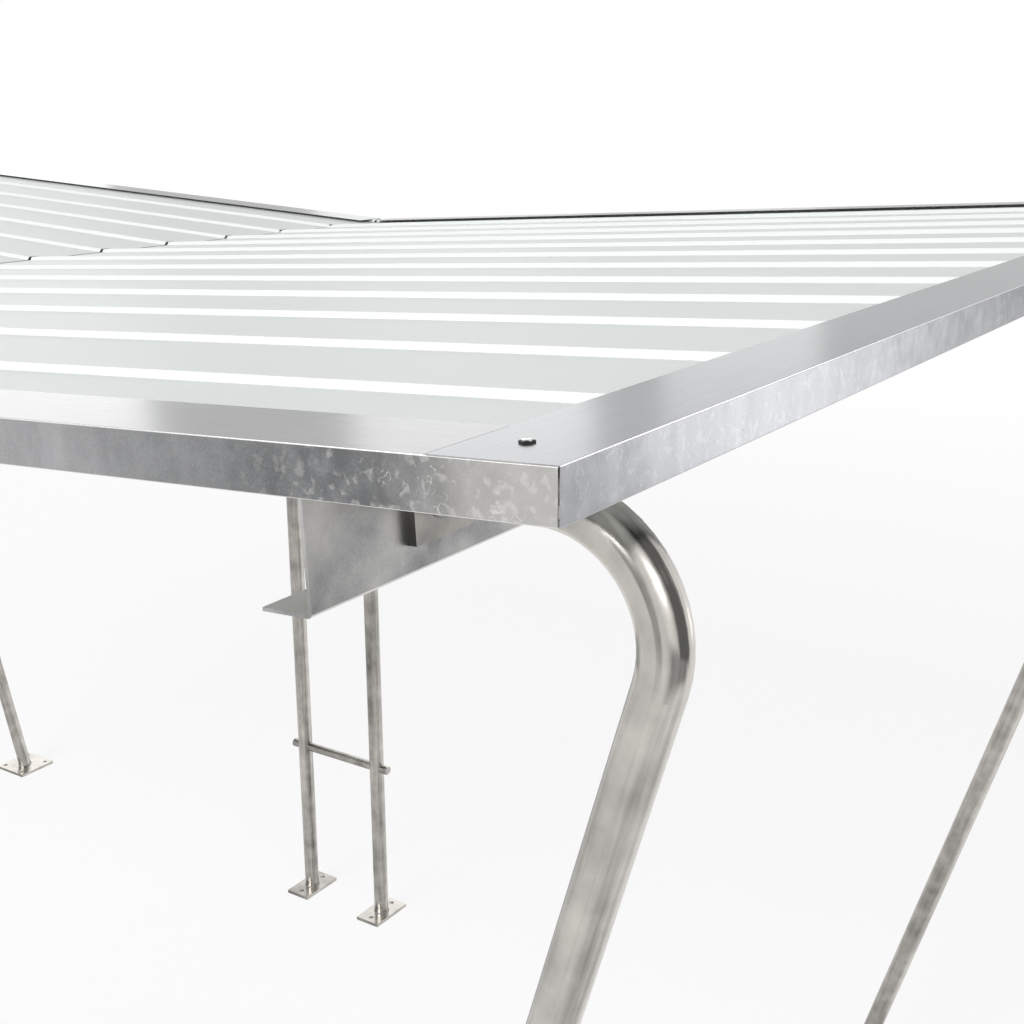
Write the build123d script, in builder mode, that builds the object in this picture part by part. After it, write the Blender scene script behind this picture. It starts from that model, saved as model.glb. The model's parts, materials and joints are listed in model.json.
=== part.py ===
import os
from math import cos, radians, sin, tan

from build123d import *

# Bike shelter with a butterfly roof: two wings fall to a valley gutter, carried by twin valley posts
# and bent tube legs. X runs across the shelter, Y along the valley, Z up, with the origin on the
# ground at the middle of the plan. Lengths are in millimetres and angles in degrees.

# Roof
rib_pitch = 200.0
rib_count = 14
edge_rib_inset = 22.0
wing_run = 2235.0
roof_slope = 3.35
eave_height = 2200.0
valley_gap = 27.0

# Roof sheets, three to a wing: the middle one's edge ribs lap over its neighbours'
sheet_gauge = 0.5
rib_height = 6.8
rib_crown_width = 23.0
rib_base_width = 34.0
lap_ribs = (4, 9)
lap_clearance = 0.1
lap_flank_share = 0.5
sheet_end_clearance = 2.0
sheet_valley_gap = 8.0

# Edge flashings
flashing_gauge = 0.6
flashing_flange_width = 90.0
flashing_leg_height = 35.3
flashing_lip_width = 11.0
flashing_bend = 1.0
corner_gap = 1.3

# Eave and valley purlins, folded Z sections
purlin_depth = 137.0
purlin_flange_width = 47.0
purlin_gauge = 3.0
purlin_bend = 3.0
purlin_end_inset = 75.0
eave_purlin_inset = 258.0

# Middle purlins and the rafters under them, square tube
mid_purlin_size = 50.0
rafter_size = 40.0
square_tube_wall = 3.0
mid_purlin_shares = {"lower": 1 / 3, "upper": 2 / 3}

# Round tube of the legs and posts, the level of the leg tops under the sheets, and the end plates on
# the purlin webs
tube_diameter = 42.4
tube_wall = 2.6
frame_inset = 224.0
leg_top_depth = 75.0
end_plate_size = 75.0
end_plate_thickness = 8.5

# Bent legs: the axis passes a point below and inside the eave edge
leg_lean = 15.9
leg_bend_radius = 100.0
leg_point_drop = 218.0
leg_point_inset = 53.0

# Valley posts, their caps and crossbars
post_spacing = 280.0
post_inset = 284.0
post_cap_width = 60.0
post_cap_length = 110.0
post_cap_thickness = 10.0
crossbar_diameter = 26.0
crossbar_height = 490.0

# Base plates, square under the legs and narrow under the posts
base_plate_size = 140.0
post_plate_width = 80.0
base_plate_thickness = 10.0
anchor_hole_diameter = 14.0
anchor_spacing = 100.0

# Valley gutter
gutter_gauge = 1.25
gutter_bend = 4.0
gutter_upstand = 80.0
gutter_side_gap = 5.0

# Fits
seat_clearance = 0.3
cut_overrun = 60.0

# Worked out from the sizes above; levels are measured square to the roof, down from its top line
slope_cos = cos(radians(roof_slope))
slope_sin = sin(radians(roof_slope))
slope_tan = tan(radians(roof_slope))
roof_length = rib_pitch * (rib_count - 1) + 2 * edge_rib_inset
half_length = roof_length / 2
valley_height = eave_height - wing_run * slope_tan
eave_reach = wing_run / slope_cos
tube_radius = tube_diameter / 2
frame_offset = half_length - frame_inset
post_along = half_length - post_inset
purlin_half = half_length - purlin_end_inset
rib_flank = (rib_base_width - rib_crown_width) / 2
lap_lift = sheet_gauge + lap_clearance
sheet_top_level = -flashing_gauge - max(flashing_gauge, lap_lift) - rib_height
sheet_under_level = sheet_top_level - sheet_gauge
mid_purlin_level = sheet_under_level - mid_purlin_size / 2
rafter_level = sheet_under_level - mid_purlin_size - rafter_size / 2
tube_level = sheet_under_level - leg_top_depth
purlin_foot_level = sheet_under_level - purlin_depth
eave_web_reach = eave_reach - eave_purlin_inset
post_offset = post_spacing / 2
post_cap_reach = (post_offset + purlin_foot_level * slope_sin) / slope_cos
valley_web_reach = post_cap_reach + purlin_flange_width / 2

sides = {"right": 1, "left": -1}
ends = {"front": -1, "rear": 1}
sheets = {
    "front": (0, lap_ribs[0], False),
    "middle": (lap_ribs[0], lap_ribs[1], True),
    "rear": (lap_ribs[1], rib_count - 1, False),
}

os.makedirs("parts", exist_ok=True)


def write(piece, name):
    piece.part.label = name
    export_step(piece.part, f"parts/{name}.step")


def wing_point(side, reach, along, level):
    # a place on a wing, from its distance up the slope, along the valley and square to the roof
    across = reach * slope_cos - level * slope_sin
    height = valley_height + reach * slope_sin + level * slope_cos
    return (side * across, along, height)


def cross_plane(side, along=0):
    # upright plane across the shelter: x up the slope, y square to the roof
    return Plane(
        origin=wing_point(side, 0, along, 0),
        x_dir=(side * slope_cos, 0, slope_sin),
        z_dir=(0, -side, 0),
    )


def slope_plane(side, reach, along=0, level=0):
    # plane square to the slope: y square to the roof, z up the slope
    return Plane(
        origin=wing_point(side, reach, along, level),
        x_dir=(0, side, 0),
        z_dir=(side * slope_cos, 0, slope_sin),
    )


def roof_plane(side, reach, along, level):
    # plane that lies with the roof: z square to the roof
    return Plane(
        origin=wing_point(side, reach, along, level),
        x_dir=(side * slope_cos, 0, slope_sin),
        z_dir=(-side * slope_sin, 0, slope_cos),
    )


def make_z_purlin(side, web_reach):
    # top flange towards the eave, foot flange towards the valley, web between them
    middle = web_reach - purlin_gauge / 2
    top = sheet_under_level - purlin_gauge / 2
    foot = purlin_foot_level + purlin_gauge / 2
    with BuildPart() as purlin:
        with BuildSketch(cross_plane(side)):
            with BuildLine():
                FilletPolyline(
                    (web_reach - purlin_gauge + purlin_flange_width, top),
                    (middle, top),
                    (middle, foot),
                    (web_reach - purlin_flange_width, foot),
                    radius=purlin_bend,
                )
            trace(line_width=purlin_gauge)
        extrude(amount=purlin_half, both=True)
    return purlin


def square_tube_face(plane, size):
    bore = size - 2 * square_tube_wall
    with BuildSketch(plane) as ring:
        Rectangle(size, size)
        Rectangle(bore, bore, mode=Mode.SUBTRACT)
    return ring.sketch


def make_mid_purlin(side, reach):
    middle = Plane(
        origin=wing_point(side, reach, 0, mid_purlin_level),
        x_dir=(side * slope_cos, 0, slope_sin),
        z_dir=(0, -side, 0),
    )
    with BuildPart() as purlin:
        extrude(square_tube_face(middle, mid_purlin_size), amount=purlin_half, both=True)
    return purlin


def tube_face(plane):
    with BuildSketch(plane) as ring:
        Circle(tube_radius)
        Circle(tube_radius - tube_wall, mode=Mode.SUBTRACT)
    return ring.sketch


def end_plate_face(side, reach, along):
    with BuildSketch(slope_plane(side, reach, along, tube_level)) as plate:
        Rectangle(end_plate_size, end_plate_size)
    return plate.sketch


def base_plate_face(across, along, width, anchor_rows):
    # plate on the ground with rows of two anchor holes
    with BuildSketch(Plane((across, along, 0))) as plate:
        Rectangle(width, base_plate_size)
        with GridLocations(anchor_spacing, anchor_spacing, anchor_rows, 2):
            Circle(anchor_hole_diameter / 2, mode=Mode.SUBTRACT)
    return plate.sketch


def make_rafter(side, along):
    # square tube between the valley purlin's web and the eave purlin's, with a plate on each end
    start = valley_web_reach
    length = eave_web_reach - purlin_gauge - start
    with BuildPart() as rafter:
        for reach in (start, start + length - end_plate_thickness):
            extrude(end_plate_face(side, reach, along), amount=end_plate_thickness)
        tube_start = slope_plane(side, start + end_plate_thickness, along, rafter_level)
        extrude(square_tube_face(tube_start, rafter_size), amount=length - 2 * end_plate_thickness)
    return rafter


def make_leg(side, along):
    # the leg leans out as it rises, bends over and runs back down the slope to the eave purlin; the
    # tube is closed by its plates, and its bore ends below the bend
    lean = tan(radians(leg_lean))
    top = wing_point(1, eave_web_reach + end_plate_thickness, 0, tube_level)
    point_across = wing_run - leg_point_inset
    point_height = eave_height - leg_point_drop
    foot_across = point_across - point_height * lean
    corner_across = (top[2] - top[0] * slope_tan + foot_across / lean) / (1 / lean - slope_tan)
    corner_height = (corner_across - foot_across) / lean
    upright = Plane(origin=(0, along, 0), x_dir=(side, 0, 0), z_dir=(0, -side, 0))
    with BuildPart() as leg:
        with BuildLine(upright) as path:
            FilletPolyline(
                (foot_across - cut_overrun * lean, -cut_overrun),
                (corner_across, corner_height),
                (top[0], top[2]),
                radius=leg_bend_radius,
            )
        upper, lower = path.edges().filter_by(GeomType.LINE).sort_by(SortBy.LENGTH)
        extrude(tube_face(Plane(origin=lower @ 0, z_dir=lower % 0)), amount=lower.length)
        with BuildSketch(Plane(origin=upper @ 0, z_dir=upper % 0)):
            Circle(tube_radius)
        extrude(amount=upper.length)
        bend = path.edges().filter_by(GeomType.CIRCLE)[0]
        with BuildSketch(Plane(origin=bend @ 0, z_dir=bend % 0)):
            Circle(tube_radius)
        revolve(axis=Axis(bend.arc_center, upright.z_dir), revolution_arc=90 + leg_lean + roof_slope)
        split(bisect_by=Plane.XY.offset(base_plate_thickness), keep=Keep.TOP)
        foot = base_plate_face(side * foot_across, along, base_plate_size, 2)
        extrude(foot, amount=base_plate_thickness)
        extrude(end_plate_face(side, eave_web_reach, along), amount=end_plate_thickness)
    return leg


def make_post(side, along):
    # upright tube under the valley purlin, with a cap that lies with the roof
    cap_under = roof_plane(side, post_cap_reach, along, purlin_foot_level - post_cap_thickness)
    with BuildPart() as post:
        tube_start = Plane((side * post_offset, along, base_plate_thickness))
        extrude(tube_face(tube_start), amount=valley_height)
        split(bisect_by=cap_under, keep=Keep.BOTTOM)
        with BuildSketch(cap_under):
            Rectangle(post_cap_width, post_cap_length)
        extrude(amount=post_cap_thickness)
        foot = base_plate_face(side * post_offset, along, post_plate_width, 1)
        extrude(foot, amount=base_plate_thickness)
    return post


def make_crossbar(along):
    # round bar between the twin posts, its ends hollowed to fit round them
    with BuildPart() as crossbar:
        with BuildSketch(Plane((0, along, crossbar_height), z_dir=(1, 0, 0))):
            Circle(crossbar_diameter / 2)
        extrude(amount=post_offset, both=True)
        for side in sides.values():
            with BuildSketch(Plane((side * post_offset, along, crossbar_height))):
                Circle(tube_radius + seat_clearance)
            extrude(amount=crossbar_diameter, both=True, mode=Mode.SUBTRACT)
    return crossbar


def make_gutter():
    # channel on the valley purlins' foot flanges, its floor falling to the valley line
    floor = purlin_foot_level + purlin_gauge + seat_clearance + gutter_gauge / 2
    wall = valley_web_reach - purlin_gauge - gutter_side_gap - gutter_gauge / 2
    valley_reach = floor * slope_sin / slope_cos
    corners = []
    for side, order in ((1, 1), (-1, -1)):
        run = [
            wing_point(side, wall, 0, floor + gutter_upstand),
            wing_point(side, wall, 0, floor),
        ]
        corners.append(run[::order])
    middle = wing_point(1, valley_reach, 0, floor)
    points = [(p[0], p[2]) for p in (*corners[0], middle, *corners[1])]
    with BuildPart() as gutter:
        with BuildSketch(Plane.XZ):
            with BuildLine():
                FilletPolyline(*points, radius=gutter_bend)
            trace(line_width=gutter_gauge)
        extrude(amount=purlin_half, both=True)
    return gutter


def sheet_outline(first_rib, last_rib, laps_over):
    # the sheet's upper line across the ribs; its edge ribs lie over the neighbours' where it laps
    lift = lap_lift if laps_over else 0
    crown = sheet_top_level + rib_height
    points = []
    for rib in range(first_rib, last_rib + 1):
        middle = edge_rib_inset + rib * rib_pitch - half_length
        rise = lift if rib in (first_rib, last_rib) else 0
        foot = rib_base_width / 2 + rise * rib_flank / rib_height
        lap_foot = rib_crown_width / 2 + lap_flank_share * rib_flank
        lap_level = crown + rise - lap_flank_share * rib_height
        left_foot = (middle - foot, sheet_top_level)
        right_foot = (middle + foot, sheet_top_level)
        if laps_over and rib == first_rib:
            left_foot = (middle - lap_foot, lap_level)
        if laps_over and rib == last_rib:
            right_foot = (middle + lap_foot, lap_level)
        left_crown = (middle - rib_crown_width / 2, crown + rise)
        right_crown = (middle + rib_crown_width / 2, crown + rise)
        points += [left_foot, left_crown, right_crown, right_foot]
    return points


def make_sheet(side, first_rib, last_rib, laps_over):
    upper = [(side * along, level) for along, level in sheet_outline(first_rib, last_rib, laps_over)]
    lower = [(along, level - sheet_gauge) for along, level in upper]
    start = sheet_valley_gap / 2
    end = eave_reach - flashing_gauge - sheet_end_clearance
    with BuildPart() as sheet:
        with BuildSketch(slope_plane(side, start)):
            with BuildLine():
                Polyline(*upper, *lower[::-1], close=True)
            make_face()
        extrude(amount=end - start)
    return sheet


def make_eave_flashing(side):
    # folded angle with a return lip, its flange over the ends of the verge flashings and its leg plumb;
    # the lip is cut back at both ends to pass theirs
    half_gauge = flashing_gauge / 2
    edge = Vector(eave_reach - half_gauge, -half_gauge)
    foot = edge - Vector(slope_sin, slope_cos) * (flashing_leg_height - flashing_gauge)
    tip = foot - Vector(slope_cos, -slope_sin) * (flashing_lip_width - half_gauge)
    with BuildPart() as flashing:
        with BuildSketch(cross_plane(side)):
            with BuildLine():
                FilletPolyline(
                    (eave_reach - flashing_flange_width, -half_gauge),
                    edge,
                    foot,
                    tip,
                    radius=flashing_bend - half_gauge,
                )
            trace(line_width=flashing_gauge)
        extrude(amount=half_length, both=True)
        for end in ends.values():
            corner = (side * (wing_run - flashing_gauge), end * half_length, eave_height - flashing_leg_height)
            with BuildSketch(Plane(corner, x_dir=(side, 0, 0), z_dir=(0, -side, 0))):
                Rectangle(flashing_lip_width, 2 * flashing_bend, align=(Align.MAX, Align.CENTER))
            extrude(amount=side * end * (flashing_lip_width + corner_gap), mode=Mode.SUBTRACT)
    return flashing


def make_verge_flashing(side, end):
    # the same folded angle along the wing's end, a gauge lower than the eave's and cut plumb beside it
    half_gauge = flashing_gauge / 2
    flange_level = -flashing_gauge - half_gauge
    start = valley_gap / 2
    inward = -side * end
    face = -inward * half_length
    eave_end = Plane((side * (wing_run - flashing_gauge - corner_gap), 0, 0), z_dir=(side, 0, 0))
    with BuildPart() as flashing:
        with BuildSketch(slope_plane(side, start)):
            with BuildLine():
                FilletPolyline(
                    (face + inward * flashing_flange_width, flange_level),
                    (face + inward * half_gauge, flange_level),
                    (face + inward * half_gauge, half_gauge - flashing_leg_height),
                    (face + inward * flashing_lip_width, half_gauge - flashing_leg_height),
                    radius=flashing_bend - half_gauge,
                )
            trace(line_width=flashing_gauge)
        extrude(amount=eave_reach - start)
        split(bisect_by=eave_end, keep=Keep.BOTTOM)
    return flashing


for end_name, end in ends.items():
    write(make_crossbar(end * post_along), f"{end_name}_crossbar")
    for side_name, side in sides.items():
        write(make_leg(side, end * frame_offset), f"{end_name}_{side_name}_leg")
        write(make_post(side, end * post_along), f"{end_name}_{side_name}_post")
        write(make_rafter(side, end * frame_offset), f"{end_name}_{side_name}_rafter")
        write(make_verge_flashing(side, end), f"{end_name}_{side_name}_verge_flashing")

for side_name, side in sides.items():
    write(make_z_purlin(side, eave_web_reach), f"{side_name}_eave_purlin")
    write(make_z_purlin(side, valley_web_reach), f"{side_name}_valley_purlin")
    write(make_eave_flashing(side), f"{side_name}_eave_flashing")
    for name, share in mid_purlin_shares.items():
        reach = valley_web_reach + share * (eave_web_reach - valley_web_reach)
        write(make_mid_purlin(side, reach), f"{side_name}_{name}_purlin")
    for name, (first_rib, last_rib, laps_over) in sheets.items():
        write(make_sheet(side, first_rib, last_rib, laps_over), f"{name}_{side_name}_roof_sheet")

write(make_gutter(), "valley_gutter")
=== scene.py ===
import json
from math import cos, pi, radians, sin, tan

import bpy
import numpy as np
from mathutils import Matrix, Vector


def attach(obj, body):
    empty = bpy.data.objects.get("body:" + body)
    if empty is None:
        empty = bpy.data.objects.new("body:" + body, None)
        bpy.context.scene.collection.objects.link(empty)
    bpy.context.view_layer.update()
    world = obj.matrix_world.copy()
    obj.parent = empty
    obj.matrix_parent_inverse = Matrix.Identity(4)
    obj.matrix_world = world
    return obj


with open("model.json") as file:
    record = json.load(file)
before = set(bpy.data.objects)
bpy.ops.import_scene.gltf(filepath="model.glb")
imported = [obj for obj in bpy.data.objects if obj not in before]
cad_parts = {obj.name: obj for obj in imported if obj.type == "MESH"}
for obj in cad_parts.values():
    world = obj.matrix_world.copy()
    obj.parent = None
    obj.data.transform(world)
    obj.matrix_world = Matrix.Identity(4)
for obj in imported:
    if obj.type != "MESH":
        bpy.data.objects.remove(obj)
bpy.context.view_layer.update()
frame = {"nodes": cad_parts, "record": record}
nodes = frame["nodes"]
print("frame loaded:", len(nodes), "nodes")

# the shelter's own sizes, in metres and radians
shelter = {
    "slope": radians(3.35),
    "wingRun": 2.235,
    "eaveHeight": 2.2,
    "halfLength": 1.322,
    "tubeRadius": 0.0212,
    "tubeLevel": -0.0835,       # square to the roof, from its top line
    "plate": 0.0085,            # end plates on the purlin webs
    "purlinInset": 0.258,       # eave purlin's web from the eave, up the slope
    "purlinGauge": 0.003,
    "purlinFoot": -0.1455,
    "purlinFlange": 0.047,
    "frameOffset": 1.098,       # legs and rafters, from the middle
    "postAlong": 1.038,
    "postOffset": 0.140,
    "crossbarHeight": 0.490,
    "crossbarRadius": 0.013,
    "rafterHalf": 0.020,        # half the square tube
    "rafterLevel": -0.0785,
    "capThickness": 0.010,
    "basePlate": 0.010,
    "lean": radians(15.9),
    "legDrop": 0.218,
    "legInset": 0.053,
}
slope = shelter["slope"]
valleyHeight = shelter["eaveHeight"] - shelter["wingRun"] * tan(slope)
eaveReach = shelter["wingRun"] / cos(slope)
eaveWeb = eaveReach - shelter["purlinInset"]
capReach = (shelter["postOffset"] + shelter["purlinFoot"] * sin(slope)) / cos(slope)
valleyWeb = capReach + shelter["purlinFlange"] / 2
legFoot = (shelter["wingRun"] - shelter["legInset"]
           - (shelter["eaveHeight"] - shelter["legDrop"]) * tan(shelter["lean"]))
bothWays = (1, -1)
quarters = [(side, end) for side in bothWays for end in bothWays]


# a place on a wing from its distance up the slope, along the valley and square to the roof
def wingPlace(side, reach, along, level):
    across = reach * cos(slope) - level * sin(slope)
    height = valleyHeight + reach * sin(slope) + level * cos(slope)
    return np.array((side * across, along, height))


def upSlope(side):
    return np.array((side * cos(slope), 0, sin(slope)))


def offRoof(side):
    return np.array((-side * sin(slope), 0, cos(slope)))


# camera, at the photograph's place and angle
cameraView = {
    "place": (2.619193, -1.944491, 2.384421),
    "right": (0.832493, 0.554015, -0.004839),
    "up": (-0.148926, 0.232179, 0.961204),
    "lens": 50.0,
    "sensor": 36.0,
    "nearest": 0.05,
    "farthest": 200,
}


def makeCamera(view):
    data = bpy.data.cameras.new("camera")
    data.lens = view["lens"]
    data.sensor_width = view["sensor"]
    data.clip_start = view["nearest"]
    data.clip_end = view["farthest"]
    right = Vector(view["right"]).normalized()
    up = Vector(view["up"]).normalized()
    turn = Matrix((right, up, right.cross(up))).transposed().to_4x4()
    camera = bpy.data.objects.new("camera", data)
    camera.matrix_world = Matrix.Translation(view["place"]) @ turn
    bpy.context.scene.collection.objects.link(camera)
    bpy.context.scene.camera = camera


makeCamera(cameraView)
print("camera placed")


# sets a socket to a number or colour, or links a wire to it
def feed(tree, socket, value):
    if isinstance(value, Wire):
        tree.links.new(value.socket, socket)
    else:
        socket.default_value = value


# a node's output that takes part in sums: each operator adds one Math node
class Wire:
    def __init__(self, tree, socket):
        self.tree = tree
        self.socket = socket

    def math(self, operation, *terms):
        made = self.tree.nodes.new("ShaderNodeMath")
        made.operation = operation
        for socket, term in zip(made.inputs, terms):
            feed(self.tree, socket, term)
        return Wire(self.tree, made.outputs[0])

    def __add__(self, other):
        return self.math("ADD", self, other)

    def __radd__(self, other):
        return self.math("ADD", other, self)

    def __sub__(self, other):
        return self.math("SUBTRACT", self, other)

    def __rsub__(self, other):
        return self.math("SUBTRACT", other, self)

    def __mul__(self, other):
        return self.math("MULTIPLY", self, other)

    def __rmul__(self, other):
        return self.math("MULTIPLY", other, self)

    def __abs__(self):
        return self.math("ABSOLUTE", self)

    def atMost(self, other):
        return self.math("MINIMUM", self, other)

    def atLeast(self, other):
        return self.math("MAXIMUM", self, other)


# a node tree with one method for any node: its type, its settings, then its sockets
class Tree:
    def __init__(self, tree):
        self.tree = tree

    def node(self, kind, settings=(), sockets=(), out=0):
        made = self.tree.nodes.new(kind)
        for key, value in dict(settings).items():
            setattr(made, key, value)
        for key, value in dict(sockets).items():
            feed(self.tree, made.inputs[key], value)
        return Wire(self.tree, made.outputs[out])

    # white to the eye, to metal and to glass
    def seen(self):
        eye, metal, glass = (
            self.node("ShaderNodeLightPath", out=ray)
            for ray in ("Is Camera Ray", "Is Glossy Ray", "Is Transmission Ray")
        )
        return (eye + metal + glass).atMost(1)


# a material's tree: noises take a scale and a detail, edges are pairs of a low and a high value
class Finish(Tree):
    def __init__(self, name):
        self.material = bpy.data.materials.new(name)
        self.material.use_nodes = True
        super().__init__(self.material.node_tree)
        self.shader = self.tree.nodes["Principled BSDF"]
        self.place = self.node("ShaderNodeTexCoord", out="Object")

    def paint(self, socket, value):
        feed(self.tree, self.shader.inputs[socket], value)

    # object coordinates, drawn out along an axis by small scales
    def stretched(self, scale):
        return self.node("ShaderNodeMapping", (), {"Vector": self.place, "Scale": scale}, out="Vector")

    # one part of a vector
    def part(self, vector, axis):
        return self.node("ShaderNodeSeparateXYZ", (), {0: vector}, out=axis)

    # the way the surface faces, along an axis
    def facing(self, axis):
        return self.part(self.node("ShaderNodeTexCoord", out="Normal"), axis)

    # distance from the valley line
    def across(self):
        return abs(self.part(self.place, "X"))

    def height(self):
        return self.part(self.place, "Z")

    def noise(self, scale, detail, place=None, distortion=0.0):
        sockets = {"Vector": place or self.place, "Scale": scale, "Detail": detail}
        sockets["Distortion"] = distortion
        return self.node("ShaderNodeTexNoise", (), sockets, out="Fac")

    # coordinates pushed about by a slow noise
    def wandering(self, scale, amount):
        sockets = {"Vector": self.place, "Scale": scale, "Detail": 2.0}
        push = self.node("ShaderNodeTexNoise", (), sockets, out="Color")
        middle = (0.5, 0.5, 0.5)
        centred = self.node("ShaderNodeVectorMath", {"operation": "SUBTRACT"}, {0: push, 1: middle})
        scaled = self.node("ShaderNodeVectorMath", {"operation": "SCALE"}, {0: centred, "Scale": amount})
        return self.node("ShaderNodeVectorMath", {"operation": "ADD"}, {0: self.place, 1: scaled})

    # 0 below the edge, 1 above it
    def step(self, value, edge):
        settings = {"interpolation_type": "SMOOTHSTEP"}
        sockets = {"Value": value, "From Min": edge[0], "From Max": edge[1]}
        return self.node("ShaderNodeMapRange", settings, sockets, out="Result")

    # 1 between a rising edge and a falling one
    def band(self, value, rise, fall):
        return self.step(value, rise) * (1 - self.step(value, fall))

    def blend(self, share, first, second):
        return self.node("ShaderNodeMix", {"data_type": "RGBA"}, {0: share, 6: first, 7: second}, out=2)

    def bump(self, height, strength, distance):
        sockets = {"Height": height, "Strength": strength, "Distance": distance}
        return self.node("ShaderNodeBump", (), sockets, out="Normal")


# satin pale coating on the roof sheets
coatedSheet = {
    "light": (0.745, 0.775, 0.767, 1),
    "deep": (0.715, 0.745, 0.737, 1),
    "roughness": 0.50,
    "specular": 0.40,
    "cloud": (1.7, 3),
    "cloudDull": 0.10,
    "grain": (700, 2),
    "relief": (0.06, 0.0002),
}


def makeCoatedSheet(look):
    finish = Finish("coatedSheet")
    cloud = finish.noise(*look["cloud"])
    grain = finish.noise(*look["grain"])
    finish.paint("Base Color", finish.blend(cloud, look["deep"], look["light"]))
    finish.paint("Roughness", look["roughness"] + look["cloudDull"] * (cloud - 0.5))
    finish.paint("Specular IOR Level", look["specular"])
    finish.paint("Normal", finish.bump(grain, *look["relief"]))
    return finish.material


# folded galvanised sheet: mottled zinc on the standing faces, drawn hair lines on the lying ones, a painted
# highlight on the lying faces and the folds, a painted shadow line where the eave flange laps over the verge
# flange, painted reflections that darken the verge face towards the corner and pale it at the corner, and
# small bright patches and worm marks that gather towards the corners
foldedSheet = {
    "wander": (60, 0.010),
    "lying": (0.5, 0.9),                                # edges on the way a face looks up
    "upperFoldHighlight": ((0.08, 0.30), (0.85, 0.97)),
    "lowerFoldHighlight": (0.10, 0.50),
    "deepening": (1.80, 2.09),                          # edges across the shelter, in metres
    "nearCorner": (1.97, 2.10),
    "atCorner": (2.09, 2.235),
    "lap": ((2.1418, 2.1424), (2.1446, 2.1448)),
    "broad": (3.0, 1),
    "mottle": (44, 5),
    "hair": (500, 2),
    "grain": (650, 2),
    "drip": (45, 3),
    "dripDrawn": (1, 1, 0.12),
    "patch": (130, 4),
    "patchEdge": (0.53, 0.66),
    "line": (120, 1),
    "lineBend": 0.5,
    "lineEdge": (0.006, 0.026),
    "worm": (38, 2),
    "wormEdge": (0.59, 0.66),
    "broadShare": 0.3,
    "hairShare": 0.3,
    "grainShare": 0.3,
    "dripShare": 0.4,
    "farMottle": 0.35,                                  # what is left away from the corner
    "farPatch": 0.05,
    "lapShare": 0.8,
    "foldHighlightShare": 0.8,
    "mottleDull": 0.16,
    "wormRelief": 0.6,
    "hairRelief": 0.08,
    "relief": (0.12, 0.0004),
}
vergeSheet = {
    **foldedSheet,
    "dark": (0.165, 0.168, 0.172, 1),
    "light": (0.580, 0.583, 0.590, 1),
    "corner": (0.650, 0.625, 0.590, 1),
    "bright": (0.840, 0.820, 0.780, 1),
    "wormMarkAndHighlight": (0.90, 0.89, 0.86, 1),
    "tint": (0.65, 0.65, 0.65, 1),
    "drawn": (0.04, 1, 1),
    "tone": 0.53,
    "deepReflection": 0.48,         # painted dark reflection along the way to the corner
    "paleReflection": 0.52,           # and a painted pale reflection at it
    "lift": 0.28,           # painted highlight that makes lying faces paler
    "mottleShare": 0.8,
    "patchShare": 0.28,
    "wormShare": 0.40,
    "roughness": 0.22,
}
eaveSheet = {
    **foldedSheet,
    "dark": (0.270, 0.273, 0.285, 1),
    "light": (0.600, 0.605, 0.626, 1),
    "corner": (0.600, 0.605, 0.626, 1),
    "bright": (0.680, 0.685, 0.705, 1),
    "wormMarkAndHighlight": (0.90, 0.90, 0.91, 1),
    "tint": (0.65, 0.655, 0.655, 1),
    "drawn": (1, 0.04, 1),
    "tone": 0.45,
    "deepReflection": 0.0,
    "paleReflection": 0.0,
    "lift": 0.10,
    "mottleShare": 0.7,
    "patchShare": 0.18,
    "wormShare": 0.16,
    "roughness": 0.21,
}


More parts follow.
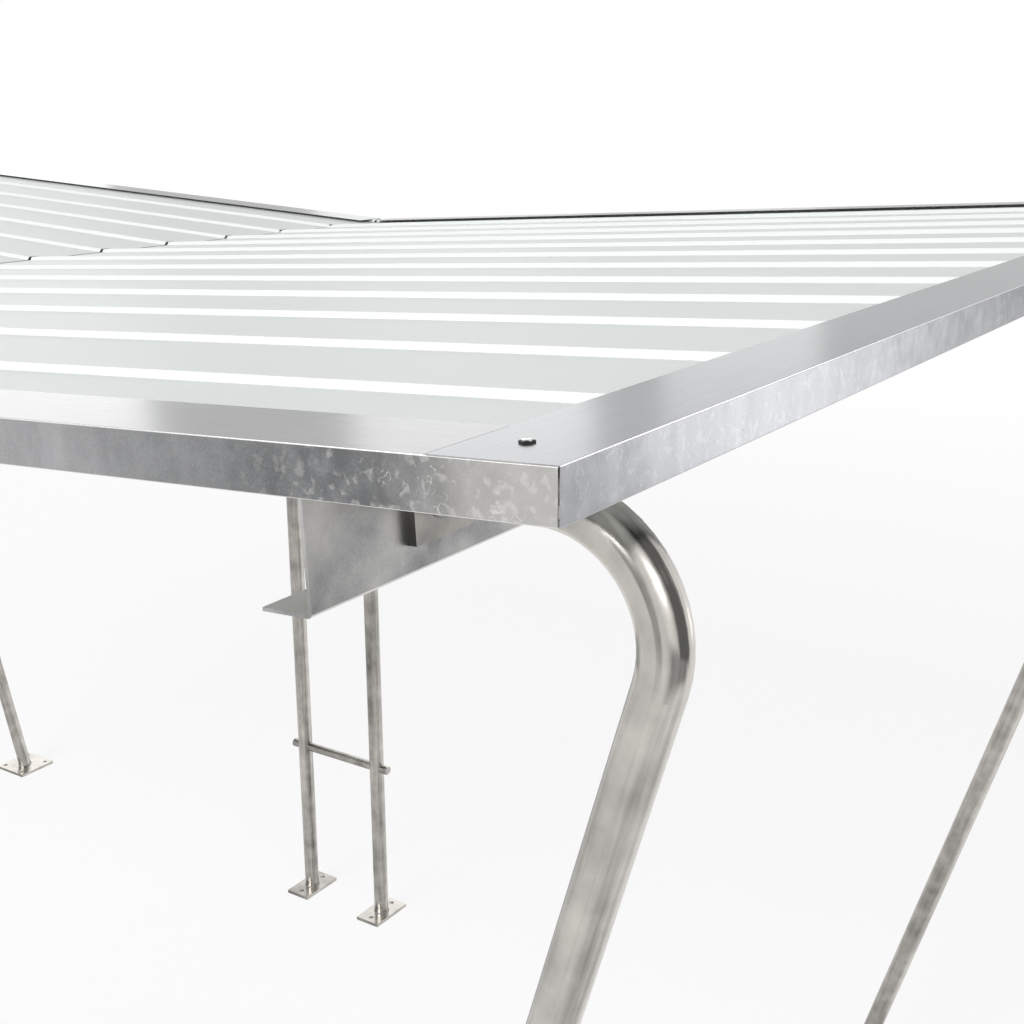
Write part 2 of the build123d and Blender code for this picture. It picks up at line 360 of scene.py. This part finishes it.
def makeGalvanisedSheet(look, name):
    finish = Finish(name)
    place = finish.wandering(*look["wander"])
    across = finish.across()
    lying = finish.step(finish.facing("Z"), look["lying"])
    standing = 1 - lying
    # painted highlight along the upper and lower folds
    upperFoldHighlight = finish.band(finish.facing("Z"), *look["upperFoldHighlight"])
    foldHighlight = upperFoldHighlight.atLeast(finish.step(0 - finish.facing("Z"), look["lowerFoldHighlight"]))
    corner = finish.step(across, look["nearCorner"])
    # painted pale reflection on the standing faces at the corner
    cornerReflection = look["paleReflection"] * finish.step(across, look["atCorner"]) * standing
    # painted shadow line where the eave flange laps over, on the lying faces
    lap = finish.band(across, *look["lap"]) * lying

    nearness = look["farMottle"] + (1 - look["farMottle"]) * corner
    mottle = (finish.noise(*look["mottle"], place) - 0.5) * standing * nearness
    broad = finish.noise(*look["broad"]) - 0.5
    hair = finish.noise(*look["hair"], finish.stretched(look["drawn"])) - 0.5
    grain = finish.noise(*look["grain"]) - 0.5
    drip = finish.noise(*look["drip"], finish.stretched(look["dripDrawn"])) - 0.5
    # painted highlight on the lying faces
    tone = look["tone"] + look["broadShare"] * broad + cornerReflection + look["lift"] * lying
    # painted dark reflection on the standing faces towards the corner
    tone = tone - look["deepReflection"] * finish.step(across, look["deepening"]) * standing
    tone = tone + look["mottleShare"] * mottle + look["hairShare"] * hair * lying
    tone = tone + look["grainShare"] * grain + look["dripShare"] * drip * standing

    gathered = look["farPatch"] + (1 - look["farPatch"]) * corner
    patch = finish.step(finish.noise(*look["patch"], place), look["patchEdge"]) * gathered * standing
    wave = finish.noise(*look["line"], place, look["lineBend"]) - 0.5
    line = 1 - finish.step(abs(wave), look["lineEdge"])
    worm = line * finish.step(finish.noise(*look["worm"]), look["wormEdge"]) * corner * standing

    body = finish.blend(tone, look["dark"], look["light"])
    # painted pale reflection at the corner, in the corner colour
    body = finish.blend(cornerReflection, body, look["corner"])
    # painted shadow line where the eave flange laps over
    body = finish.blend(lap * look["lapShare"], body, look["dark"])
    body = finish.blend(patch * look["patchShare"], body, look["bright"])
    body = finish.blend(worm * look["wormShare"], body, look["wormMarkAndHighlight"])
    # painted highlight on the folds, in the colour that the worm marks use too
    finish.paint("Base Color", finish.blend(foldHighlight * look["foldHighlightShare"], body, look["wormMarkAndHighlight"]))
    finish.paint("Specular Tint", look["tint"])
    finish.paint("Metallic", 1.0)
    finish.paint("Roughness", look["roughness"] + look["mottleDull"] * mottle)
    relief = mottle + look["wormRelief"] * worm + look["hairRelief"] * hair
    finish.paint("Normal", finish.bump(relief, *look["relief"]))
    return finish.material


# rolled galvanised section: broad mottling, paler up the web, and a painted highlight along bends
# and flanges
galvanisedSection = {
    "dark": (0.190, 0.190, 0.195, 1),
    "light": (0.620, 0.612, 0.600, 1),
    "flangeHighlight": (0.84, 0.83, 0.80, 1),
    "roughness": 0.36,
    "wander": (9, 0.06),
    "blotch": (15, 6),
    "grain": (420, 3),
    "upWeb": (-0.125, -0.06),       # below the roof's top line, in metres
    "flangeHighlightEdge": (0.10, 0.50),
    "tone": 0.38,
    "blotchShare": 1.8,
    "grainShare": 0.3,
    "webGain": 0.5,
    "flangeHighlightShare": 0.8,
    "blotchDull": 0.25,
    "relief": (0.10, 0.0006),
}


def makeGalvanisedSection(look):
    finish = Finish("galvanisedSection")
    blotch = finish.noise(*look["blotch"], finish.wandering(*look["wander"])) - 0.5
    grain = finish.noise(*look["grain"]) - 0.5
    fromEave = shelter["wingRun"] - finish.across()
    belowRoof = finish.height() - shelter["eaveHeight"] + fromEave * tan(slope)
    tone = look["tone"] + look["blotchShare"] * blotch + look["grainShare"] * grain
    tone = tone + look["webGain"] * finish.step(belowRoof, look["upWeb"])
    # painted highlight on bends and flanges, which face up or down
    flangeHighlight = finish.step(abs(finish.facing("Z")), look["flangeHighlightEdge"])
    body = finish.blend(tone, look["dark"], look["light"])
    finish.paint("Base Color", finish.blend(flangeHighlight * look["flangeHighlightShare"], body, look["flangeHighlight"]))
    finish.paint("Metallic", 1.0)
    finish.paint("Roughness", look["roughness"] + look["blotchDull"] * blotch)
    finish.paint("Normal", finish.bump(tone, *look["relief"]))
    return finish.material


# hot-dip galvanised tube: bands drawn out along the tube, whose side shows in Y alone, plain plates with
# a painted dark reflection on their cut edges, painted shade on the sides that face the middle, a painted
# highlight along the outward side, and painted dark reflections round the outside of the bend
galvanisedTube = {
    "dark": (0.100, 0.098, 0.092, 1),
    "light": (0.640, 0.612, 0.572, 1),
    "drawn": (0.03, 1, 0.03),
    "roughness": 0.24,
    "endPlateHeight": (1.90, 1.95),     # edges in metres
    "endPlateAcross": (1.993, 1.994),
    "basePlateHeight": (0.011, 0.013),
    "bendAcross": (1.95, 2.08),
    "perEnd": 0.9,                      # brings the way to the end, or outward, to about 1
    "perSide": 0.47,
    "cutReflection": (0.7, 0.9),              # edges on the ways that a surface looks
    "rising": ((-0.09, 0.07), (0.6, 0.8)),
    "blackReflection": ((0.12, 0.25), (0.52, 0.66)),
    "greyReflection": ((0.12, 0.20), (0.32, 0.42)),
    "greyEnd": (0.0, 0.2),
    "foot": ((-0.18, -0.08), (0.02, 0.12)),
    "closingReflection": ((0.2, 0.4), (0.75, 0.9)),
    "rimHighlight": (0.80, 0.95),
    "rimEnd": (-0.1, 0.4),
    "innerShade": (-0.6, 0.0),
    "innerSide": (0.45, 0.8),
    "stripe": (75, 2),
    "streak": (330, 2),
    "cloud": (24, 4),
    "tone": 0.72,
    "stripeShare": 1.2,
    "streakShare": 0.5,
    "cloudShare": 0.8,
    "rimHighlightGain": 0.35,
    "innerShadeLoss": 0.3,
    "plateLoss": 0.36,
    "cutReflectionLoss": 0.4,
    "blackLoss": 0.85,
    "blackStreak": 1.4,
    "closingShare": 0.7,
    "greyLoss": 0.35,
    "cloudDull": 0.16,
    "relief": (0.08, 0.0006),
}


def makeGalvanisedTube(look):
    finish = Finish("galvanisedTube")
    across, height = finish.across(), finish.height()
    toEnd = look["perEnd"] * finish.facing("Y") * finish.part(finish.place, "Y")
    outward = look["perSide"] * finish.facing("X") * finish.part(finish.place, "X")

    inboard = 1 - finish.step(across, look["endPlateAcross"])
    endPlate = finish.step(height, look["endPlateHeight"]) * inboard
    plate = endPlate.atLeast(1 - finish.step(height, look["basePlateHeight"]))
    tube = 1 - plate
    # painted dark reflection on the plates' cut edges
    cutReflection = plate * finish.step(abs(finish.facing("Y")), look["cutReflection"])

    atBend = finish.step(across, look["bendAcross"])
    bend = finish.band(finish.facing("Z"), *look["rising"]) * atBend
    # painted dark reflections round the outside of the bend, in two bands
    blackReflection = bend * finish.band(toEnd, *look["blackReflection"])
    greyReflection = bend * finish.band(outward, *look["greyReflection"]) * finish.step(toEnd, look["greyEnd"])
    # a painted dark reflection that wraps round the foot of the bend
    foot = finish.band(finish.facing("Z"), *look["foot"]) * atBend
    closingReflection = foot * finish.band(toEnd, *look["closingReflection"])
    # painted highlight along the tubes' outward side
    rimHighlight = finish.step(outward, look["rimHighlight"]) * (1 - finish.step(toEnd, look["rimEnd"])) * tube
    # painted shade on the sides of the tubes that face the middle
    innerShade = (1 - finish.step(toEnd, look["innerShade"])) * (1 - finish.step(outward, look["innerSide"])) * tube

    drawn = finish.stretched(look["drawn"])
    stripe = finish.noise(*look["stripe"], drawn) - 0.5
    streak = finish.noise(*look["streak"], drawn) - 0.5
    cloud = finish.noise(*look["cloud"]) - 0.5
    tone = look["tone"] + (look["stripeShare"] * stripe + look["streakShare"] * streak) * tube
    tone = tone + look["cloudShare"] * cloud + look["rimHighlightGain"] * rimHighlight - look["innerShadeLoss"] * innerShade
    tone = tone - look["plateLoss"] * endPlate - look["cutReflectionLoss"] * cutReflection
    # the darkest of the painted dark reflections at the bend
    dark = blackReflection.atLeast(look["closingShare"] * closingReflection)
    tone = tone - dark * (look["blackLoss"] + look["blackStreak"] * streak)
    tone = tone - greyReflection * (look["greyLoss"] + streak)
    finish.paint("Base Color", finish.blend(tone, look["dark"], look["light"]))
    finish.paint("Metallic", 1.0)
    finish.paint("Roughness", look["roughness"] + look["cloudDull"] * cloud)
    finish.paint("Normal", finish.bump(streak + cloud, *look["relief"]))
    return finish.material


# dark coated screws, rubbed bright on top
darkScrew = {
    "base": (0.012, 0.012, 0.013, 1),
    "worn": (0.70, 0.70, 0.69, 1),
    "roughness": 0.22,
    "wear": (900, 3),
    "wearDull": 0.2,
    "top": (0.90, 0.97),
    "topMetal": 0.9,
}


def makeDarkScrew(look):
    finish = Finish("darkScrew")
    wear = finish.noise(*look["wear"])
    top = finish.step(finish.facing("Z"), look["top"])
    finish.paint("Base Color", finish.blend(top, look["base"], look["worn"]))
    finish.paint("Metallic", top * look["topMetal"])
    finish.paint("Roughness", look["roughness"] + look["wearDull"] * (wear - 0.5))
    return finish.material


# zinc-plated bolts and the rougher weld beads
zincBolt = {
    "dark": (0.33, 0.33, 0.34, 1),
    "light": (0.55, 0.55, 0.56, 1),
    "roughness": 0.36,
    "grain": (400, 3),
    "grainDull": 0.2,
}
weldMetal = {
    "dark": (0.22, 0.22, 0.215, 1),
    "light": (0.42, 0.42, 0.41, 1),
    "roughness": 0.45,
    "grain": (500, 3),
    "grainDull": 0.2,
}


def makeSmallMetal(look, name):
    finish = Finish(name)
    tone = finish.noise(*look["grain"])
    finish.paint("Base Color", finish.blend(tone, look["dark"], look["light"]))
    finish.paint("Metallic", 1.0)
    finish.paint("Roughness", look["roughness"] + look["grainDull"] * (tone - 0.5))
    return finish.material


finishes = {
    "coated_sheet": makeCoatedSheet(coatedSheet),
    "galvanised_section": makeGalvanisedSection(galvanisedSection),
    "galvanised_tube": makeGalvanisedTube(galvanisedTube),
}
sheetFinishes = {
    "verge": makeGalvanisedSheet(vergeSheet, "vergeSheet"),
    "eave": makeGalvanisedSheet(eaveSheet, "eaveSheet"),
}
screwFinish = makeDarkScrew(darkScrew)
boltFinish = makeSmallMetal(zincBolt, "zincBolt")
weldFinish = makeSmallMetal(weldMetal, "weldMetal")

for row in frame["record"]["subparts"]:
    name, slot = row["node"], row["material_slot"]
    if slot == "galvanised_sheet":
        finish = sheetFinishes["verge" if "verge" in name else "eave"]
    elif name.endswith("rafter"):
        finish = finishes["galvanised_section"]
    else:
        finish = finishes[slot]
    nodes[name].data.materials.clear()
    nodes[name].data.materials.append(finish)
print("finishes on", len(nodes), "nodes")


# faces of a grid of points that is closed round its columns, and round its rows too where it is a ring
def gridFaces(rows, columns, ring=False):
    row = np.arange(rows if ring else rows - 1)[:, None]
    column = np.arange(columns)[None, :]
    here, ahead = row * columns, (row + 1) % rows * columns
    beside = (column + 1) % columns
    corners = [here + column, here + beside, ahead + beside, ahead + column]
    return np.stack(np.broadcast_arrays(*corners), axis=-1).reshape(-1, 4)


# a turned head: over angle and place on the profile, the radius is the profile's own, drawn out to
# a hexagon by the share given there; each profile row is radius, height and that share
def turnedHead(profile, around):
    radius, height, share = (column[:, None] for column in np.array(profile).T)
    angle = np.linspace(0, 2 * pi, around, endpoint=False)[None, :]
    hexagon = 1 / np.cos((angle + pi / 6) % (pi / 3) - pi / 6)
    reach = radius * (1 - share + share * hexagon)
    grid = np.stack([reach * np.cos(angle), reach * np.sin(angle), height + 0 * angle], axis=-1)
    return grid.reshape(-1, 3), gridFaces(len(profile), around)


# copies of a shape, its z along each direction
def placeCopies(points, faces, places, directions):
    z = np.array(directions, float)
    y = np.tile((0.0, 1.0, 0.0), (len(z), 1))
    y[np.abs(z[:, 1]) > 0.9] = (0.0, 0.0, 1.0)      # another guide where z runs along y
    x = np.cross(y, z)
    x /= np.linalg.norm(x, axis=1)[:, None]
    turn = np.stack([x, np.cross(z, x), z], axis=1)
    spread = np.einsum("pi,nij->npj", points, turn) + np.array(places)[:, None, :]
    shift = np.arange(len(z))[:, None, None] * len(points)
    return spread.reshape(-1, 3), (faces[None] + shift).reshape(-1, 4)


def makePiece(name, points, faces, finish, slot=None, sharpAngle=radians(35)):
    mesh = bpy.data.meshes.new(name)
    mesh.from_pydata(points.tolist(), [], faces.tolist())
    mesh.validate()
    mesh.polygons.foreach_set("use_smooth", np.ones(len(mesh.polygons), bool))
    mesh.set_sharp_from_angle(angle=sharpAngle)
    mesh.materials.append(finish)
    piece = bpy.data.objects.new(name, mesh)
    bpy.context.scene.collection.objects.link(piece)
    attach(piece, "root")


# hex screws where the eave flange lies over the verge flanges
cornerScrew = {
    "flat": 0.0045,
    "height": 0.0021,
    "chamfer": 0.0007,
    "crown": 0.3,           # share of the chamfer that the top's rim falls by
    "fromEave": 0.0518,
    "fromEnd": 0.0467,
    "around": 36,
}


def makeCornerScrews(screw):
    apothem, top, cut = screw["flat"], screw["height"], screw["chamfer"]
    profile = [
        (0.0, top, 0),
        (apothem - 2 * cut, top, 0),
        (apothem - cut, top - screw["crown"] * cut, 0),
        (apothem, top - cut, 1),
        (apothem, -cut, 1),
        (0.0, -cut, 0),
    ]
    reach = eaveReach - screw["fromEave"]
    along = shelter["halfLength"] - screw["fromEnd"]
    places = [wingPlace(side, reach, end * along, 0) for side, end in quarters]
    directions = [offRoof(side) for side, end in quarters]
    points, faces = turnedHead(profile, screw["around"])
    makePiece("corner_screws", *placeCopies(points, faces, places, directions), screwFinish)


# bolt heads and nuts with washers through the end plates and the purlin webs
plateBolt = {
    "flat": 0.0065,
    "chamfer": 0.1,         # share of the flat
    "head": 0.0053,
    "nut": 0.0065,
    "stud": 0.004,
    "stub": 0.004,
    "washer": 0.0085,
    "washerThickness": 0.0016,
    "offset": 0.0265,
    "around": 36,
}


def hexProfile(bolt, height, stub):
    apothem, washer, seat = bolt["flat"], bolt["washer"], bolt["washerThickness"]
    cut = bolt["chamfer"] * apothem
    top = seat + height
    end = [(0.0, top, 0)]
    if stub:
        end = [(0.0, top + stub, 0), (bolt["stud"], top + stub, 0), (bolt["stud"], top, 0)]
    return end + [
        (apothem - cut, top, 0),
        (apothem, top - cut, 1),
        (apothem, seat, 1),
        (washer, seat, 0),
        (washer, 0.0, 0),
        (0.0, 0.0, 0),
    ]


def makePlateBolts(bolt):
    heads = {"places": [], "directions": []}
    nuts = {"places": [], "directions": []}
    headReach = eaveWeb + shelter["plate"]
    nutReach = eaveWeb - shelter["purlinGauge"] - shelter["plate"]
    valleyHead = valleyWeb + shelter["plate"]
    z = shelter["tubeLevel"] + bolt["offset"]
    for side, end in quarters:
        for way in bothWays:        # two to a plate, at its upper corners
            y = end * (shelter["frameOffset"] + way * bolt["offset"])
            heads["places"] += [wingPlace(side, headReach, y, z), wingPlace(side, valleyHead, y, z)]
            heads["directions"] += [upSlope(side), upSlope(side)]
            nuts["places"].append(wingPlace(side, nutReach, y, z))
            nuts["directions"].append(-upSlope(side))
    for name, group, height, stub in (("plate_bolts", heads, bolt["head"], 0),
                                      ("plate_nuts", nuts, bolt["nut"], bolt["stub"])):
        points, faces = turnedHead(hexProfile(bolt, height, stub), bolt["around"])
        copies = placeCopies(points, faces, group["places"], group["directions"])
        makePiece(name, *copies, boltFinish, "galvanised_tube")


# ends of the crossbars outside the posts
crossbarEnd = {"length": 0.022, "chamfer": 0.0015, "sunk": 0.004, "around": 48}


def makeCrossbarEnds(stub):
    radius, cut, tip = shelter["crossbarRadius"], stub["chamfer"], stub["length"]
    profile = [
        (0.0, tip, 0),
        (radius - cut, tip, 0),
        (radius, tip - cut, 0),
        (radius, -stub["sunk"], 0),
        (0.0, -stub["sunk"], 0),
    ]
    outer = shelter["postOffset"] + shelter["tubeRadius"]
    along, height = shelter["postAlong"], shelter["crossbarHeight"]
    places = [(side * outer, end * along, height) for side, end in quarters]
    directions = [(side, 0, 0) for side, end in quarters]
    points, faces = turnedHead(profile, stub["around"])
    copies = placeCopies(points, faces, places, directions)
    makePiece("crossbar_ends", *copies, finishes["galvanised_tube"], "galvanised_tube")


# weld beads: where a tube meets a plate, the bead is a ring swept along the meeting line, its radius
# rippled by the laid drops; round a square tube the line's reach from the axis is half the tube over the
# larger of the angle's cosine and sine
weldBead = {
    "radius": 0.0022,
    "ripple": 0.12,
    "drops": 34,
    "around": 136,
    "section": 10,
    "sharpAngle": radians(80),
}


def beadRing(axisPoint, axis, platePoint, plateNormal, square, bead):
    axis, plateNormal = np.array(axis, float), np.array(plateNormal, float)
    first = np.cross((0, 1, 0), axis)
    second = np.cross(axis, first)
    angle = np.linspace(0, 2 * pi, bead["around"], endpoint=False)[:, None]
    outward = np.cos(angle) * first + np.sin(angle) * second
    reach = shelter["tubeRadius"]
    if square:
        reach = shelter["rafterHalf"] / np.maximum(np.abs(np.cos(angle)), np.abs(np.sin(angle)))
    line = np.array(axisPoint) + reach * outward
    run = ((np.array(platePoint) - line) @ plateNormal) / (axis @ plateNormal)
    line = line + run[:, None] * axis
    turn = np.linspace(0, 2 * pi, bead["section"], endpoint=False)[None, :, None]
    size = bead["radius"] * (1 + bead["ripple"] * np.cos(bead["drops"] * angle))[:, None]
    grid = line[:, None] + size * (np.cos(turn) * outward[:, None] + np.sin(turn) * axis)
    return grid.reshape(-1, 3), gridFaces(bead["around"], bead["section"], ring=True)


def makeWeldBeads(bead):
    upright = (0, 0, 1)
    plates = {      # reach of each plate's face, and whether a square tube meets it
        eaveWeb + shelter["plate"]: False,
        valleyWeb + shelter["plate"]: True,
        eaveWeb - shelter["purlinGauge"] - shelter["plate"]: True,
    }
    rings = []
    for side, end in quarters:
        along = upSlope(side)
        leanAxis = (side * sin(shelter["lean"]), 0, cos(shelter["lean"]))
        capPlane = wingPlace(side, capReach, 0, shelter["purlinFoot"] - shelter["capThickness"])
        y = end * shelter["frameOffset"]
        foot = (side * legFoot, y, 0.0)
        plateTop = (side * legFoot, y, shelter["basePlate"])
        rings.append((foot, leanAxis, plateTop, upright, False))
        for reach, square in plates.items():
            place = wingPlace(side, reach, y, shelter["rafterLevel" if square else "tubeLevel"])
            rings.append((place, along, place, along, square))
        post = (side * shelter["postOffset"], end * shelter["postAlong"], shelter["basePlate"])
        rings.append((post, upright, post, upright, False))
        rings.append((post, upright, capPlane, offRoof(side), False))
    shapes = [beadRing(*ring, bead) for ring in rings]
    count = len(shapes[0][0])
    points = np.concatenate([shape[0] for shape in shapes])
    faces = np.concatenate([shape[1] + n * count for n, shape in enumerate(shapes)])
    makePiece("weld_beads", points, faces, weldFinish, "galvanised_tube", bead["sharpAngle"])


makeCornerScrews(cornerScrew)
makePlateBolts(plateBolt)
makeCrossbarEnds(crossbarEnd)
makeWeldBeads(weldBead)
print("screws, bolts and welds made")

# pale floor and soft studio light; lamp levels are the shade that each gives a white card facing it
studio = {
    "floorSize": 400.0,
    "floorColour": (0.92, 0.92, 0.92, 1),
    "floorWhite": 0.87,         # under the object, all white further off
    "floorFade": (3.5, 11.0),
    "ambient": 0.30,
    "lamps": {
        "keyLamp": {"place": (-1.5, -20.5, 13.2), "aim": (1.0, -0.5, 2.0), "size": 12.0, "level": 0.94},
        "flankLamp": {"place": (-4.2, -3.0, 9.0), "aim": (0.8, -0.5, 2.1), "size": 2.5, "level": 0.08},
        "rearLamp": {"place": (-5.5, 3.7, 3.2), "aim": (1.9, -1.28, 2.18), "size": 2.2, "level": 0.025},
        "edgeLamp": {"place": (-3.1, 5.87, 3.6), "aim": (2.13, -1.28, 2.19), "size": 1.65, "level": 0.0120},
        "glintLamp": {"place": (-1.25, 6.25, 3.17), "aim": (2.17, -0.92, 2.2), "size": 1.0, "level": 0.0042},
        "foldLamp": {"place": (3.8, 6.2, 5.8), "aim": (2.235, -0.8, 2.2), "size": 2.0, "level": 0.06},
        "sideLamp": {"place": (5.36, 6.09, 0.72), "aim": (2.235, -1.08, 2.18), "size": 1.4, "level": 0.0145},
        "bendLamp": {"place": (7.6, -5.0, 4.8), "aim": (2.1, -1.1, 2.0), "size": 2.6, "level": 0.10},
    },
}


def makeFloor(settings):
    half = settings["floorSize"] / 2
    points = [(-half, -half, 0), (half, -half, 0), (half, half, 0), (-half, half, 0)]
    mesh = bpy.data.meshes.new("floor")
    mesh.from_pydata(points, [], [(0, 1, 2, 3)])
    floor = bpy.data.objects.new("floor", mesh)
    bpy.context.scene.collection.objects.link(floor)
    finish = Finish("paleFloor")
    finish.tree.nodes.remove(finish.shader)
    card = finish.node("ShaderNodeBsdfDiffuse", (), {"Color": settings["floorColour"]})
    white = finish.node("ShaderNodeEmission", (), {"Strength": 1.0})
    away = finish.node("ShaderNodeVectorMath", {"operation": "LENGTH"}, {0: finish.place}, out="Value")
    fade = finish.step(away, settings["floorFade"])
    share = finish.seen() * (settings["floorWhite"] + (1 - settings["floorWhite"]) * fade)
    shown = finish.node("ShaderNodeMixShader", (), {0: share, 1: card, 2: white})
    feed(finish.tree, finish.tree.nodes["Material Output"].inputs["Surface"], shown)
    mesh.materials.append(finish.material)


def makeWorld(settings):
    world = bpy.data.worlds.new("studio")
    world.use_nodes = True
    bpy.context.scene.world = world
    tree = Tree(world.node_tree)
    soft = tree.node("ShaderNodeBackground", (), {"Color": (1, 1, 1, 1), "Strength": settings["ambient"]})
    white = tree.node("ShaderNodeBackground", (), {"Color": (1, 1, 1, 1), "Strength": 1.0})
    shown = tree.node("ShaderNodeMixShader", (), {0: tree.seen(), 1: soft, 2: white})
    feed(tree.tree, tree.tree.nodes["World Output"].inputs["Surface"], shown)


def makeLamps(settings):
    for name, lamp in settings["lamps"].items():
        toLamp = Vector(lamp["place"]) - Vector(lamp["aim"])
        data = bpy.data.lights.new(name, "AREA")
        data.size = lamp["size"]
        data.energy = lamp["level"] * pi ** 2 * toLamp.length_squared
        holder = bpy.data.objects.new(name, data)
        holder.location = lamp["place"]
        holder.rotation_mode = "QUATERNION"
        holder.rotation_quaternion = toLamp.to_track_quat("Z", "Y")
        holder.visible_camera = False
        bpy.context.scene.collection.objects.link(holder)


makeFloor(studio)
makeWorld(studio)
makeLamps(studio)
bpy.context.scene.view_settings.view_transform = "Standard"
print("studio set")
